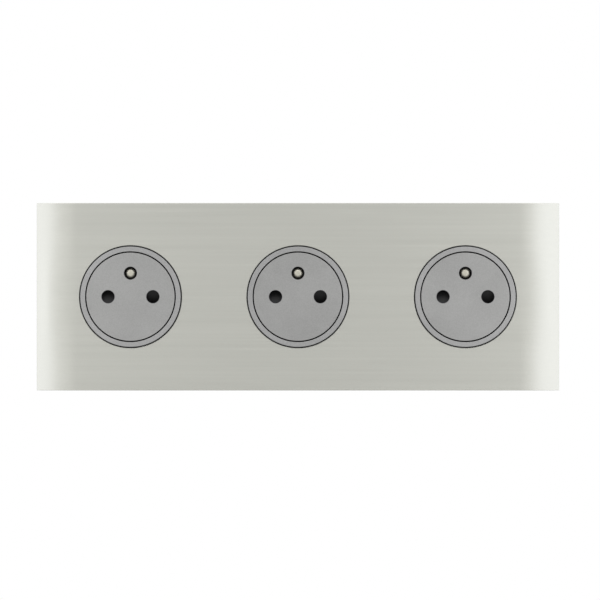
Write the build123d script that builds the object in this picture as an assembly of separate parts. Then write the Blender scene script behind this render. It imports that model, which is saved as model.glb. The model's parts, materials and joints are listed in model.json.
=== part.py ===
from build123d import *
import os
from math import cos, pi, radians, sin, sqrt

# Triple wall socket for two-pin plugs, with an earth pin in each socket. Each socket face closes its well
# just in front of the plate, and a plug pushes it back into the well against a spring.
# Millimetres. X runs to the right along the plate, Y into the wall and Z up. The wall is the plane Y = 0.
# The origin is the centre of the middle wall box on that plane, so depths in front of the wall are negative.

# Row of sockets and cover plate
PITCH = 71.0            # centre distance of neighbouring wall boxes
GANGS = {"left": -1, "middle": 0, "right": 1}
PLATE_END = 40.0        # plate beyond the centre of an outer socket
PLATE_H = 79.5
PLATE_T = 1.2           # sheet thickness
PLATE_RISE = 8.6        # plate front in front of the wall
PLATE_EDGE = 0.3        # bevel around the plate's front
END_RUN = 17.0          # width of the part of each end that bends back
END_RADIUS = 34.0       # radius of that bend on the front
APERTURE_GAP = 0.55     # gap between plate and trim ring

# Plate carrier behind the plate
CARRIER_INSET = 1.0     # carrier edge inside the plate edge
CARRIER_SKIN = 1.5
CARRIER_WALL = 1.6
CARRIER_HOLE_GAP = 1.2  # carrier hole beyond the plate's aperture
RIB_T = 1.2
RIB_GAP = 1.0           # rib end in front of the support frame
RIB_END_GAP = 3.0       # rib end inside the frame's flanges
CLIP_W = 8.0
CLIP_T = 1.2
CLIP_HOOK_H = 1.6
CLIP_GRIP = 0.8         # how far a clip hook reaches into the frame's flange
CLIP_FIT = 0.15

# Support frame
FRAME_T = 1.2
FRAME_SIDE_GAP = 1.4    # frame edge inside the carrier's end walls
FRAME_CLIP_ROOM = 2.0   # room for the clips between frame flange and carrier wall
FRAME_CORNER = 4.0
FRAME_FLANGE_H = 4.6
FRAME_FLANGE_END = 7.0  # flange stops short of the frame's ends
FRAME_BEND_R = 1.4      # middle radius of the folds
WINDOW_FIT = 0.4
WINDOW_CORNER = 5.0
BOX_SCREWS = 60.0       # screw distance of a wall box
SLOT_R = 2.1
SLOT_LENGTH = 7.0

# Plug and socket standard
PIN_SPACING = 19.0
PIN_R = 2.4
PIN_LENGTH = 19.0
EARTH_RISE = 10.0       # earth pin above the line of the pin holes
EARTH_PIN_R = 2.4
EARTH_PIN_REACH = 14.0  # earth pin in front of the pushed-back socket face
WELL_DEPTH = 15.0       # travel of the socket face
WELL_R = 19.25

# Trim ring
RING_BAND = 2.0         # width seen from the front
RING_PROUD = 0.8        # ring and disc in front of the plate
RING_WALL = 1.1
RING_FIT = 0.1

# Moving socket face: disc, shutter and back
DISC_GAP = 0.55
DISC_T = 2.2
DISC_WALL = 1.5
PIN_HOLE_PLAY = 0.3
EARTH_HOLE_PLAY = 0.25
PIVOT_R = 2.4
PIVOT_PLAY = 0.08
SHUTTER_T = 3.0
SHUTTER_PLAY = 0.15
SHUTTER_REACH = 13.2    # half length of the shutter bar
SHUTTER_HALF = 3.3      # half width of the shutter bar
SHUTTER_HUB_R = 4.4
RAMP_START = 6.2        # the ramps begin at this distance from the pivot
RAMP_FOOT = 0.7         # thickness left at the thin edge of a ramp
LEAF_T = 0.3            # strip of the shutter spring
LEAF_W = 2.4
LEAF_BEND_R = 1.2
LEAF_FIT = 0.05
LEAF_ROOT_GAP = 3.6     # root of the strip inside the disc's wall
LEAF_ROOT_ANGLE = 256
LEAF_TURN_GAP = 1.1     # bend of the strip inside the disc's wall
LEAF_TURN_ANGLE = 219
LEAF_TIP_X = -8.0
LEAF_POST = 3.0         # side of the post that holds the strip
BACK_T = 1.5
BACK_HOLE_PLAY = 0.5
LUG_ANGLES = (45, 135, 225, 315)
LUG_W = 4.0
LUG_REACH = 0.85        # lug beyond the well's radius
LUG_PLAY = 0.2
STOP_PLAY = 0.1         # play between the lugs and the end of the trim ring

# Return spring
SPRING_R = 3.6          # mean coil radius
SPRING_WIRE = 0.7
SPRING_TURNS = 6
SPRING_STEPS = 9        # straight pieces in each turn
SPRING_ROOM = 0.5
SPRING_SEAT = 0.5       # depth of the seat in the disc's back
SPRING_FIT = 0.05

# Base, contact block and rear cover
WELL_PLAY = 0.1         # well of the base beyond the bore of the trim ring
FLOOR_PLAY = 0.2
FLOOR_T = 2.0
BODY_WALL = 2.5
BODY_CORNER = 8.0
BASE_FLANGE_T = 1.8
BASE_FLANGE_LIP = 3.2   # flange beyond the body
BASE_FLANGE_CORNER = 6.0
COLLAR_LIP = 0.75       # collar beyond the trim ring
COLLAR_GAP = 0.3        # collar behind the plate's back
SNAP_W = 8.0
SNAP_REACH = 1.3
SNAP_LENGTH = 2.6
SNAP_PLAY = 0.05
COVER_T = 2.0
TAB_W = 6.0             # snap tabs of the rear cover
TAB_T = 1.2
TAB_GRIP = 4.0          # tabs run through the contact block and this far into the base
TAB_IN = 1.4            # tabs inside the body's sides
TAB_DROP = 12.0         # tabs below the socket's axis
TAB_FIT = 0.1
TAB_HOOK = 0.5
TAB_HOOK_H = 1.2
WIRE_HOLE_R = 2.0
WIRE_LEAD = 0.5

# Contacts and terminals
STRIP_T = 0.6           # contact strip
CONTACT_HALF_W = 2.8
CONTACT_PINCH = 0.25    # each leaf reaches this far inside the pin's surface
CONTACT_FLARE = 0.6
CONTACT_HEEL = 0.2      # leaf clear of the pin at the web
CONTACT_HEEL_LENGTH = 2.5
CONTACT_ROOM = 0.3
PIN_END_ROOM = 0.5
CAGE_GAP = 0.7          # gap between contact leaf and terminal cage
CAGE_INNER_WALL = 1.2
CAGE_OUTER_WALL = 2.0
CAGE_SIDE_WALL = 1.2
CAGE_BORE = 4.8
CAGE_HALF_W = 4.0
CAGE_LENGTH = 7.8
CAGE_ROOM = 0.2
SIDE_WALL = 1.6         # wall outside a terminal cage
TONGUE_HALF_W = 2.4
TONGUE_LENGTH = 6.0
SEAT_FIT = 0.05
STRAP_T = 0.8           # earth strap
STRAP_HALF_W = 3.0
TERMINAL_TURNS = {"live": 0, "earth": 90, "neutral": 180}

# Earth pin and terminal screws
PIN_COLLAR_R = 3.4
PIN_COLLAR_T = 0.8
PIN_TIP_ROUND = 1.7
TERMINAL_SCREW_R = 1.75
TERMINAL_SCREW_LENGTH = 3.4
SCREW_FIT = 0.05
DRIVER_FIT = 0.6        # hole for the screwdriver beyond the screw
DRIVE_W = 0.7
DRIVE_DEPTH = 0.8

# Cutting shapes run this far past the surface they cut.
CUT = 1.0

# Outlines of the plate, ring and disc
PLATE_HALF = PITCH + PLATE_END
PLATE_HALF_H = PLATE_H / 2
FLAT_HALF = PLATE_HALF - END_RUN
RING_R = WELL_R + RING_BAND
RING_SKIRT_R = WELL_R + RING_WALL
COLLAR_R = RING_R + COLLAR_LIP
APERTURE_R = RING_R + APERTURE_GAP
DISC_R = WELL_R - DISC_GAP
CUP_R = DISC_R - DISC_WALL
LUG_R = WELL_R + LUG_REACH
PIN_X = PIN_SPACING / 2
PIN_HOLE_R = PIN_R + PIN_HOLE_PLAY
EARTH_HOLE_R = EARTH_PIN_R + EARTH_HOLE_PLAY

# Depths of the moving socket face, from front to back
FACE = -PLATE_RISE - RING_PROUD
DISC_INNER = FACE + DISC_T
SHUTTER_FRONT = DISC_INNER + SHUTTER_PLAY
SHUTTER_BACK = SHUTTER_FRONT + SHUTTER_T
BACK_FRONT = SHUTTER_BACK + SHUTTER_PLAY
BACK_REAR = BACK_FRONT + BACK_T

# Depths of the base and the contact block, from front to back
COLLAR_FRONT = -PLATE_RISE + PLATE_T + COLLAR_GAP
RING_END = BACK_FRONT - STOP_PLAY
BASE_FLANGE_FRONT = -FRAME_T - BASE_FLANGE_T
FLOOR = BACK_REAR + WELL_DEPTH + FLOOR_PLAY
CHAMBER = FLOOR + FLOOR_T
SPRING_POCKET = FLOOR + SPRING_TURNS * SPRING_WIRE + SPRING_ROOM
PIN_END = FACE + WELL_DEPTH + PIN_LENGTH
WEB = PIN_END + PIN_END_ROOM
WEB_BACK = WEB + STRIP_T
BODY_REAR = WEB_BACK + PIN_END_ROOM
REAR = BODY_REAR + COVER_T
STRAP_FRONT = CHAMBER + PIN_COLLAR_T
STRAP_BACK = STRAP_FRONT + STRAP_T
CAGE_BACK = WEB - CAGE_ROOM
CAGE_FRONT = CAGE_BACK - CAGE_LENGTH
CAGE_MIDDLE = (CAGE_FRONT + CAGE_BACK) / 2

# Body around the well and the terminals, and distances of the terminals from the socket's axis
GROOVE_R = LUG_R + LUG_PLAY
CAGE_REACH = CAGE_INNER_WALL + CAGE_BORE + CAGE_OUTER_WALL + CAGE_ROOM + SIDE_WALL
BODY_HALF = max(GROOVE_R + BODY_WALL, PIN_X + CONTACT_HALF_W + CAGE_GAP + CAGE_REACH)
BASE_FLANGE_HALF = BODY_HALF + BASE_FLANGE_LIP
TAB_OUT = BODY_HALF - TAB_IN
CAGE_IN = BODY_HALF - CAGE_REACH
CAGE_BORE_IN = CAGE_IN + CAGE_INNER_WALL
CAGE_BORE_OUT = CAGE_BORE_IN + CAGE_BORE
CAGE_OUT = CAGE_BORE_OUT + CAGE_OUTER_WALL
TONGUE_IN = CAGE_BORE_IN + SEAT_FIT
WIRE_AT = CAGE_BORE_OUT - WIRE_HOLE_R

# Outlines of the carrier and the frame
CARRIER_HALF = PLATE_HALF - CARRIER_INSET
CARRIER_HALF_H = PLATE_HALF_H - CARRIER_INSET
SKIN_BACK = -PLATE_RISE + PLATE_T + CARRIER_SKIN
FRAME_HALF = CARRIER_HALF - CARRIER_WALL - FRAME_SIDE_GAP
FRAME_HALF_H = CARRIER_HALF_H - CARRIER_WALL - FRAME_CLIP_ROOM
HOOK_MIDDLE = -(FRAME_FLANGE_H + FRAME_T) / 2
HOOK_FRONT = HOOK_MIDDLE - CLIP_HOOK_H / 2
HOOK_BACK = HOOK_MIDDLE + CLIP_HOOK_H / 2


def between(outline, front, back):
    """Solid of an outline drawn in the wall plane, X right and Z up, from one depth to another."""
    plane = Plane((0, back, 0), x_dir=(1, 0, 0), z_dir=(0, -1, 0))
    return extrude(plane * outline, back - front)


def block(x0, x1, front, back, z0, z1):
    """Plain block between two values on each axis."""
    return between(Pos((x0 + x1) / 2, (z0 + z1) / 2) * Rectangle(x1 - x0, z1 - z0), front, back)


def rod(radius, front, back, x=0.0, z=0.0):
    """Round bar along Y."""
    return between(Pos(x, z) * Circle(radius), front, back)


def along_x(outline, x0, x1):
    """Solid of an outline drawn in depth and height, from one X to another."""
    return extrude(Plane.YZ.offset(x0) * outline, x1 - x0)


def turned(*points):
    """Solid turned about the Y axis from points of radius and depth."""
    return revolve(make_face(Polyline(*points, close=True)), Axis.Y)


def led_hole(radius, mouth, end, lead, x=0.0, z=0.0):
    """Cutting shape for a round hole along Y with a bevelled mouth."""
    inward = 1 if end > mouth else -1
    outside = mouth - inward * CUT
    brim = radius + lead + CUT
    hole = turned((0, outside), (brim, outside), (radius, mouth + inward * lead), (radius, end), (0, end))
    return Pos(x, 0, z) * hole


def polar(radius, angle):
    """X and Z of a point at a radius and an angle in degrees."""
    return radius * cos(radians(angle)), radius * sin(radians(angle))


def radial(piece, angle):
    """Turn a piece drawn along +X about the socket's axis, towards +Z."""
    return Rot(0, -angle, 0) * piece


def bowed(depth, half_w, half_h, back):
    """Block behind the bowed front, from a depth below the plate's face back to another depth."""
    flat = -PLATE_RISE + depth
    radius = END_RADIUS - depth
    end = flat + radius - sqrt(radius ** 2 - (half_w - FLAT_HALF) ** 2)
    outline = [
        Line((-half_w, back), (-half_w, end)),
        TangentArc((-FLAT_HALF, flat), (-half_w, end), tangent=(-1, 0)),
        Line((-FLAT_HALF, flat), (FLAT_HALF, flat)),
        TangentArc((FLAT_HALF, flat), (half_w, end), tangent=(1, 0)),
        Line((half_w, end), (half_w, back)),
        Line((half_w, back), (-half_w, back)),
    ]
    return extrude(Pos(0, 0, -half_h) * make_face(outline), 2 * half_h)


def on_plate_rim(edge):
    """True for an edge around the plate's front, and false for its corners and its back."""
    middle = edge.center()
    at_end = abs(abs(middle.X) - PLATE_HALF) < PLATE_EDGE
    at_side = abs(abs(middle.Z) - PLATE_HALF_H) < PLATE_EDGE
    return middle.Y < -PLATE_EDGE and at_end != at_side


def cover_plate():
    """Bowed sheet with a round opening for each socket."""
    plate = bowed(0, PLATE_HALF, PLATE_HALF_H, 0)
    plate = chamfer(plate.edges().filter_by(on_plate_rim), PLATE_EDGE)
    plate -= bowed(PLATE_T, PLATE_HALF + CUT, PLATE_HALF_H + CUT, CUT)
    for side in GANGS.values():
        plate -= rod(APERTURE_R, -PLATE_RISE, 0, side * PITCH)
    return plate


def plate_carrier():
    """Moulded tray behind the plate, open to the wall, with ribs and with clips for the support frame."""
    tray = bowed(PLATE_T, CARRIER_HALF, CARRIER_HALF_H, 0)
    tray -= bowed(PLATE_T + CARRIER_SKIN, CARRIER_HALF - CARRIER_WALL, CARRIER_HALF_H - CARRIER_WALL, CUT)
    for side in GANGS.values():
        tray -= rod(APERTURE_R + CARRIER_HOLE_GAP, -PLATE_RISE, 0, side * PITCH)
    rib_half = FRAME_HALF_H - FRAME_T - RIB_END_GAP
    clip_in = FRAME_HALF_H + CLIP_FIT
    for side in (-1, 1):
        web = side * PITCH / 2
        left = web - CLIP_W / 2
        right = web + CLIP_W / 2
        tray += block(web - RIB_T / 2, web + RIB_T / 2, SKIN_BACK, -FRAME_T - RIB_GAP, -rib_half, rib_half)
        clip = block(left, right, SKIN_BACK, HOOK_BACK, clip_in, clip_in + CLIP_T)
        clip += block(left, right, HOOK_FRONT, HOOK_BACK, FRAME_HALF_H - CLIP_GRIP, clip_in)
        tray += clip
        tray += mirror(clip, Plane.XY)
    return tray


def support_frame():
    """Folded steel frame with a window and two screw slots for each wall box."""
    height = FRAME_HALF_H - FRAME_T / 2
    fold = -FRAME_T / 2
    path = FilletPolyline(
        (-FRAME_FLANGE_H, height), (fold, height), (fold, -height), (-FRAME_FLANGE_H, -height),
        radius=FRAME_BEND_R,
    )
    frame = along_x(trace(path, FRAME_T), -FRAME_HALF, FRAME_HALF)
    outline = RectangleRounded(2 * FRAME_HALF, 2 * FRAME_HALF_H, FRAME_CORNER)
    frame &= between(outline, -FRAME_FLANGE_H, 0)
    flange_end = FRAME_HALF - FRAME_FLANGE_END
    inside = FRAME_HALF_H - FRAME_T - CUT
    for side in (-1, 1):
        outer, inner = side * (FRAME_HALF + CUT), side * flange_end
        frame -= block(min(outer, inner), max(outer, inner), -FRAME_FLANGE_H - CUT, -FRAME_T,
                       -FRAME_HALF_H - CUT, FRAME_HALF_H + CUT)
        web = side * PITCH / 2
        left = web - CLIP_W / 2 - CLIP_FIT
        right = web + CLIP_W / 2 + CLIP_FIT
        slot = block(left, right, HOOK_FRONT - CLIP_FIT, HOOK_BACK + CLIP_FIT, inside, FRAME_HALF_H + CUT)
        frame -= slot
        frame -= mirror(slot, Plane.XY)
    window = 2 * (BODY_HALF + WINDOW_FIT)
    for side in GANGS.values():
        frame -= between(Pos(side * PITCH, 0) * RectangleRounded(window, window, WINDOW_CORNER), -FRAME_T, 0)
        for half in (-1, 1):
            slot = SlotOverall(SLOT_LENGTH, 2 * SLOT_R)
            frame -= between(Pos(side * PITCH + half * BOX_SCREWS / 2, 0) * slot, -FRAME_T, 0)
    return frame


def trim_ring():
    """Ring around the socket face, with a skirt that lines the mouth of the well and stops the disc."""
    shoulder = COLLAR_FRONT - RING_FIT
    return turned(
        (WELL_R, FACE), (RING_R, FACE), (RING_R, shoulder), (RING_SKIRT_R, shoulder),
        (RING_SKIRT_R, RING_END), (WELL_R, RING_END),
    )


def leaf_root():
    """Middle of the post that holds the shutter spring."""
    return polar(CUP_R - LEAF_ROOT_GAP, LEAF_ROOT_ANGLE)


def leaf_path():
    """Middle line of the shutter spring, from its post to the lower edge of the shutter's left arm."""
    turn = polar(CUP_R - LEAF_TURN_GAP, LEAF_TURN_ANGLE)
    tip = (LEAF_TIP_X, -SHUTTER_HALF - LEAF_T / 2 - LEAF_FIT)
    return FilletPolyline(leaf_root(), turn, tip, radius=LEAF_BEND_R)


def disc():
    """Socket face: a shallow cup with the pin holes, the shutter's pivot and the post of its spring."""
    cup = turned(
        (0, FACE), (DISC_R, FACE), (DISC_R, BACK_FRONT), (CUP_R, BACK_FRONT), (CUP_R, DISC_INNER),
        (0, DISC_INNER),
    )
    cup += rod(PIVOT_R, DISC_INNER, BACK_FRONT)
    at_root = Pos(*leaf_root())
    post = between(at_root * Rectangle(LEAF_POST, LEAF_POST), DISC_INNER, SHUTTER_FRONT + LEAF_W)
    groove = trace(leaf_path(), LEAF_T + 2 * LEAF_FIT)
    overrun = at_root * Circle(LEAF_T / 2 + LEAF_FIT)
    cup += post - between(groove + overrun, SHUTTER_FRONT, BACK_FRONT)
    for x in (-PIN_X, PIN_X):
        cup -= rod(PIN_HOLE_R, FACE, DISC_INNER, x)
    cup -= rod(EARTH_HOLE_R, FACE, DISC_INNER, 0, EARTH_RISE)
    return cup


def shutter():
    """Turning bar behind the pin holes. A pin on either ramp presses it aside only if both pins push."""
    bar = between(Rectangle(2 * SHUTTER_REACH, 2 * SHUTTER_HALF), SHUTTER_FRONT, SHUTTER_BACK)
    bar += rod(SHUTTER_HUB_R, SHUTTER_FRONT, SHUTTER_BACK)
    bar -= rod(PIVOT_R + PIVOT_PLAY, SHUTTER_FRONT, SHUTTER_BACK)
    thin = SHUTTER_BACK - RAMP_FOOT
    slope = ((SHUTTER_FRONT, SHUTTER_HALF), (SHUTTER_FRONT, -SHUTTER_HALF), (thin, -SHUTTER_HALF))
    ramp = along_x(make_face(Polyline(*slope, close=True)), RAMP_START, SHUTTER_REACH)
    for angle in (0, 180):
        bar -= radial(ramp, angle)
    return bar


def shutter_spring():
    """Bent spring strip that holds the shutter across the pin holes."""
    return between(trace(leaf_path(), LEAF_T), SHUTTER_FRONT, SHUTTER_FRONT + LEAF_W)


def disc_back():
    """Plate welded to the disc, with lugs that run in the base's grooves and a seat for the spring."""
    plate = rod(DISC_R, BACK_FRONT, BACK_REAR)
    lug = block(PIN_X, LUG_R, BACK_FRONT, BACK_REAR, -LUG_W / 2, LUG_W / 2)
    for angle in LUG_ANGLES:
        plate += radial(lug, angle)
    for x in (-PIN_X, PIN_X):
        plate -= rod(PIN_R + BACK_HOLE_PLAY, BACK_FRONT, BACK_REAR, x)
    plate -= rod(EARTH_PIN_R + BACK_HOLE_PLAY, BACK_FRONT, BACK_REAR, 0, EARTH_RISE)
    plate -= rod(SPRING_R + SPRING_WIRE / 2 + SPRING_ROOM, BACK_REAR - SPRING_SEAT, BACK_REAR)
    return plate


def return_spring():
    """Coil spring between the contact block's pocket and the disc's back, as a ruled coil of square wire."""
    first = BACK_REAR - SPRING_SEAT + SPRING_WIRE / 2 + SPRING_FIT
    last = SPRING_POCKET - SPRING_WIRE / 2 - SPRING_FIT
    steps = SPRING_TURNS * SPRING_STEPS
    rise = (last - first) / (SPRING_TURNS * 2 * pi * SPRING_R)
    sections = []
    for step in range(steps + 1):
        angle = 2 * pi * step / SPRING_STEPS
        outward = (cos(angle), 0, sin(angle))
        centre = (SPRING_R * cos(angle), first + (last - first) * step / steps, SPRING_R * sin(angle))
        plane = Plane(centre, x_dir=outward, z_dir=(-sin(angle), rise, cos(angle)))
        sections.append(plane * Rectangle(SPRING_WIRE, SPRING_WIRE))
    return loft(sections, ruled=True)


def terminal_chamber():
    """Cutting shape for one terminal and its screw, drawn along +X."""
    room = CAGE_HALF_W + CAGE_ROOM
    cut = block(CAGE_IN - CAGE_ROOM, CAGE_OUT + CAGE_ROOM, CAGE_FRONT, BODY_REAR, -room, room)
    driver = Pos(CAGE_MIDDLE, 0) * Circle(TERMINAL_SCREW_R + DRIVER_FIT)
    return cut + along_x(driver, CAGE_OUT, BODY_HALF + CUT)


def contact_chamber():
    """Cutting shape for a pin contact and its way to the terminal, drawn along +X."""
    inner = PIN_X - CONTACT_HALF_W - CONTACT_ROOM
    outer = PIN_X + CONTACT_HALF_W + CONTACT_ROOM
    room = PIN_R + STRIP_T + CONTACT_FLARE + CONTACT_ROOM
    link = TONGUE_HALF_W + CONTACT_ROOM
    cut = block(inner, outer, CHAMBER, BODY_REAR, -room, room)
    return cut + block(PIN_X, CAGE_IN, WEB - CONTACT_ROOM, BODY_REAR, -link, link)


def earth_chamber():
    """Cutting shape for the earth pin's collar and the earth strap, drawn along +X."""
    room = PIN_COLLAR_R + CONTACT_ROOM
    cut = block(EARTH_RISE - room, CAGE_IN, CHAMBER, BODY_REAR, -room, room)
    return cut + block(CAGE_IN, TONGUE_IN + STRAP_T + CONTACT_ROOM, CHAMBER, CAGE_FRONT, -room, room)


def snap_tabs(fit):
    """The rear cover's two snap tabs, grown all round by a fit to cut the slots that they sit in."""
    tip = FLOOR - TAB_GRIP
    lower = -TAB_DROP - TAB_W / 2 - fit
    upper = -TAB_DROP + TAB_W / 2 + fit
    tab = block(TAB_OUT - TAB_T - fit, TAB_OUT + fit, tip - fit, BODY_REAR, lower, upper)
    hook = Polyline(
        (TAB_OUT + fit, tip - fit), (TAB_OUT + TAB_HOOK + fit, tip + TAB_HOOK_H + fit),
        (TAB_OUT + fit, tip + TAB_HOOK_H + fit), close=True,
    )
    tab += extrude(Pos(0, 0, lower) * make_face(hook), upper - lower)
    return tab, mirror(tab, Plane.YZ)


def base():
    """Moulded body around the well, with the flange that sits on the frame and the collar behind the ring."""
    side = 2 * BODY_HALF
    rim = 2 * BASE_FLANGE_HALF
    body = between(RectangleRounded(side, side, BODY_CORNER), -FRAME_T, FLOOR)
    body += between(RectangleRounded(rim, rim, BASE_FLANGE_CORNER), BASE_FLANGE_FRONT, -FRAME_T)
    body += rod(COLLAR_R, COLLAR_FRONT, BASE_FLANGE_FRONT)
    snap = Polyline(
        (SNAP_PLAY, BODY_HALF - CUT), (SNAP_PLAY, BODY_HALF + SNAP_REACH),
        (SNAP_LENGTH, BODY_HALF), (SNAP_LENGTH, BODY_HALF - CUT), close=True,
    )
    wedge = along_x(make_face(snap), -SNAP_W / 2, SNAP_W / 2)
    for angle in (0, 180):
        body += radial(wedge, angle)
    body -= rod(RING_SKIRT_R + RING_FIT, COLLAR_FRONT, RING_END)
    body -= rod(WELL_R + WELL_PLAY, RING_END, FLOOR)
    groove = block(PIN_X, GROOVE_R, RING_END, FLOOR, -LUG_W / 2 - LUG_PLAY, LUG_W / 2 + LUG_PLAY)
    for angle in LUG_ANGLES:
        body -= radial(groove, angle)
    for slot in snap_tabs(TAB_FIT):
        body -= slot
    return body


def contact_block():
    """Moulded block that closes the well, with the spring's pocket and the chambers behind its floor."""
    side = 2 * BODY_HALF
    body = between(RectangleRounded(side, side, BODY_CORNER), FLOOR, BODY_REAR)
    body -= rod(SPRING_R + SPRING_WIRE / 2 + SPRING_ROOM, FLOOR, SPRING_POCKET)
    for x in (-PIN_X, PIN_X):
        body -= rod(PIN_HOLE_R, FLOOR, CHAMBER, x)
    body -= rod(EARTH_PIN_R + SEAT_FIT, FLOOR, CHAMBER, 0, EARTH_RISE)
    for name, angle in TERMINAL_TURNS.items():
        body -= radial(terminal_chamber(), angle)
        body -= radial(earth_chamber() if name == "earth" else contact_chamber(), angle)
    for slot in snap_tabs(TAB_FIT):
        body -= slot
    return body


def rear_cover():
    """Plate over the contact block, with a led-in hole for each wire and tabs that snap into the base."""
    side = 2 * BODY_HALF
    plate = between(RectangleRounded(side, side, BODY_CORNER), BODY_REAR, REAR)
    for angle in TERMINAL_TURNS.values():
        x, z = polar(WIRE_AT, angle)
        plate -= led_hole(WIRE_HOLE_R, REAR, BODY_REAR, WIRE_LEAD, x, z)
    for tab in snap_tabs(0):
        plate += tab
    return plate


def pin_contact(angle):
    """Bent strip with two leaves that grip a plug pin and a tongue that reaches into the terminal."""
    mouth = CHAMBER + CONTACT_ROOM
    heel = WEB - CONTACT_HEEL_LENGTH
    pinch = (mouth + heel) / 2
    web = WEB + STRIP_T / 2
    flared = PIN_R + CONTACT_FLARE + STRIP_T / 2
    pinched = PIN_R - CONTACT_PINCH + STRIP_T / 2
    straight = PIN_R + CONTACT_HEEL + STRIP_T / 2
    path = Polyline(
        (mouth, flared), (pinch, pinched), (heel, straight), (web, straight),
        (web, -straight), (heel, -straight), (pinch, -pinched), (mouth, -flared),
    )
    outer = PIN_X + CONTACT_HALF_W
    section = make_face(offset(path, STRIP_T / 2, kind=Kind.INTERSECTION).edges())
    strip = along_x(section, PIN_X - CONTACT_HALF_W, outer)
    tongue_out = TONGUE_IN + STRIP_T
    strip += block(outer, tongue_out, WEB, WEB_BACK, -TONGUE_HALF_W, TONGUE_HALF_W)
    strip += block(TONGUE_IN, tongue_out, WEB_BACK - TONGUE_LENGTH, WEB, -TONGUE_HALF_W, TONGUE_HALF_W)
    return radial(strip, angle)


def earth_strap(angle):
    """Bent strip from the earth pin's collar to the earth terminal."""
    tongue_out = TONGUE_IN + STRAP_T
    strip = block(EARTH_RISE - STRAP_HALF_W, CAGE_IN, STRAP_FRONT, STRAP_BACK, -STRAP_HALF_W, STRAP_HALF_W)
    strip += block(CAGE_IN, tongue_out, STRAP_FRONT, STRAP_BACK, -TONGUE_HALF_W, TONGUE_HALF_W)
    tongue_end = STRAP_BACK + TONGUE_LENGTH
    strip += block(TONGUE_IN, tongue_out, STRAP_BACK, tongue_end, -TONGUE_HALF_W, TONGUE_HALF_W)
    return radial(strip, angle)


def terminal(angle):
    """Square brass cage with a threaded outer wall, around the tongue and the wire."""
    bore_half = CAGE_HALF_W - CAGE_SIDE_WALL
    cage = block(CAGE_IN, CAGE_OUT, CAGE_FRONT, CAGE_BACK, -CAGE_HALF_W, CAGE_HALF_W)
    cage -= block(CAGE_BORE_IN, CAGE_BORE_OUT, CAGE_FRONT, CAGE_BACK, -bore_half, bore_half)
    cage -= along_x(Pos(CAGE_MIDDLE, 0) * Circle(TERMINAL_SCREW_R + SCREW_FIT), CAGE_BORE_OUT, CAGE_OUT)
    return radial(cage, angle)


def terminal_screws():
    """Slotted clamping screws of the three terminals, turned back to take the wires."""
    end = CAGE_BORE_OUT + TERMINAL_SCREW_LENGTH
    fastener = along_x(Pos(CAGE_MIDDLE, 0) * Circle(TERMINAL_SCREW_R), CAGE_BORE_OUT, end)
    fastener -= block(end - DRIVE_DEPTH, end, CAGE_FRONT, CAGE_BACK, -DRIVE_W / 2, DRIVE_W / 2)
    group = Part()
    for angle in TERMINAL_TURNS.values():
        group += radial(fastener, angle)
    return group


def earth_pin():
    """Round pin with a domed tip and a collar held between the contact block's floor and the earth strap."""
    tip = FACE + WELL_DEPTH - EARTH_PIN_REACH
    pin = turned(
        (0, tip), (EARTH_PIN_R, tip), (EARTH_PIN_R, CHAMBER), (PIN_COLLAR_R, CHAMBER),
        (PIN_COLLAR_R, STRAP_FRONT), (0, STRAP_FRONT),
    )
    tip_edge = pin.edges().filter_by(GeomType.CIRCLE).sort_by(Axis.Y)[0]
    return Pos(0, 0, EARTH_RISE) * fillet(tip_edge, PIN_TIP_ROUND)


os.makedirs("parts", exist_ok=True)
shared = {
    "cover_plate": cover_plate(),
    "plate_carrier": plate_carrier(),
    "support_frame": support_frame(),
}
for name, piece in shared.items():
    export_step(piece, f"parts/{name}.step")

socket = {
    "trim_ring": trim_ring(),
    "disc": disc(),
    "shutter": shutter(),
    "shutter_spring": shutter_spring(),
    "disc_back": disc_back(),
    "return_spring": return_spring(),
    "base": base(),
    "contact_block": contact_block(),
    "rear_cover": rear_cover(),
    "live_contact": pin_contact(TERMINAL_TURNS["live"]),
    "neutral_contact": pin_contact(TERMINAL_TURNS["neutral"]),
    "earth_strap": earth_strap(TERMINAL_TURNS["earth"]),
    "earth_pin": earth_pin(),
    "terminal_screws": terminal_screws(),
}
for name, angle in TERMINAL_TURNS.items():
    socket[f"{name}_terminal"] = terminal(angle)
for gang, side in GANGS.items():
    for name, piece in socket.items():
        export_step(Pos(side * PITCH, 0, 0) * piece, f"parts/{gang}_{name}.step")
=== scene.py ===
import json
from math import asin, atan2, cos, pi, radians, sin, tan

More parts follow.
